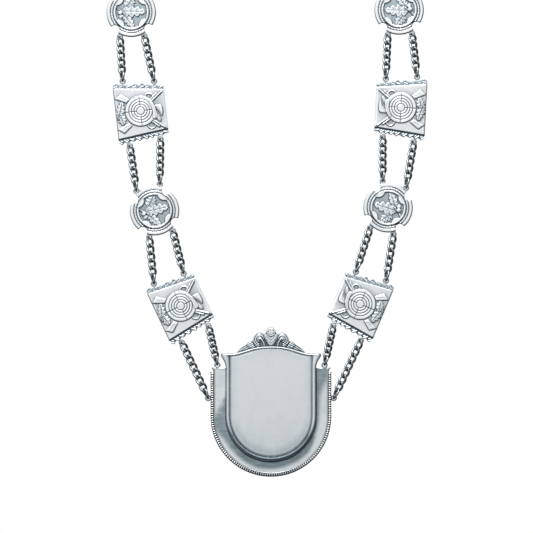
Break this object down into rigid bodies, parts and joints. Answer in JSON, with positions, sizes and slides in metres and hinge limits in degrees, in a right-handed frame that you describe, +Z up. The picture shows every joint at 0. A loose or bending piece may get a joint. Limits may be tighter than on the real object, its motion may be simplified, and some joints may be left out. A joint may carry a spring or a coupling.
{
  "type": "shooting guild chain",
  "caption": "Worn ceremonial chain of square and round silver plaques linked by paired chain strands, with a framed blank shield pendant below and a double chain at the nape.",
  "frame": {"origin": "at the nape: the middle of the back chains on their neck side, where the worn chain rests", "axes": "+Z up, -Y forward out of the wearer's chest, +X to the right as a viewer in front sees it"},
  "size_m": [0.252, 0.1725, 0.4754],
  "materials": {
    "plaque_silver": "silver-plated brass castings, oxidised in the recesses and brushed on the raised parts",
    "chain_silver": "silver-plated brass wire, darkened between the links",
    "carrier_silver": "silver-plated brass sheet, brushed along its arms, with a beaded border",
    "shield_silver": "silver-plated brass, fine satin panel in a polished frame"
  },
  "bodies": {
    "root": {"back_chain_inner": "chain_silver", "back_chain_outer": "chain_silver", "chain_pendant_square_1_inner_left": "chain_silver", "chain_pendant_square_1_inner_right": "chain_silver", "chain_pendant_square_1_outer_left": "chain_silver", "chain_pendant_square_1_outer_right": "chain_silver", "chain_round_1_square_2_inner_left": "chain_silver", "chain_round_1_square_2_inner_right": "chain_silver", "chain_round_1_square_2_outer_left": "chain_silver", "chain_round_1_square_2_outer_right": "chain_silver", "chain_round_2_square_3_inner_left": "chain_silver", "chain_round_2_square_3_inner_right": "chain_silver", "chain_round_2_square_3_outer_left": "chain_silver", "chain_round_2_square_3_outer_right": "chain_silver", "chain_square_1_round_1_inner_left": "chain_silver", "chain_square_1_round_1_inner_right": "chain_silver", "chain_square_1_round_1_outer_left": "chain_silver", "chain_square_1_round_1_outer_right": "chain_silver", "chain_square_2_round_2_inner_left": "chain_silver", "chain_square_2_round_2_inner_right": "chain_silver", "chain_square_2_round_2_outer_left": "chain_silver", "chain_square_2_round_2_outer_right": "chain_silver", "chain_square_3_round_3_inner_left": "chain_silver", "chain_square_3_round_3_inner_right": "chain_silver", "chain_square_3_round_3_outer_left": "chain_silver", "chain_square_3_round_3_outer_right": "chain_silver", "pendant_carrier": "carrier_silver", "pendant_shield": "shield_silver", "round_1_left": "plaque_silver", "round_1_right": "plaque_silver", "round_2_left": "plaque_silver", "round_2_right": "plaque_silver", "round_3_left": "plaque_silver", "round_3_right": "plaque_silver", "square_1_left": "plaque_silver", "square_1_right": "plaque_silver", "square_2_left": "plaque_silver", "square_2_right": "plaque_silver", "square_3_left": "plaque_silver", "square_3_right": "plaque_silver"}
  },
  "joints": []
}
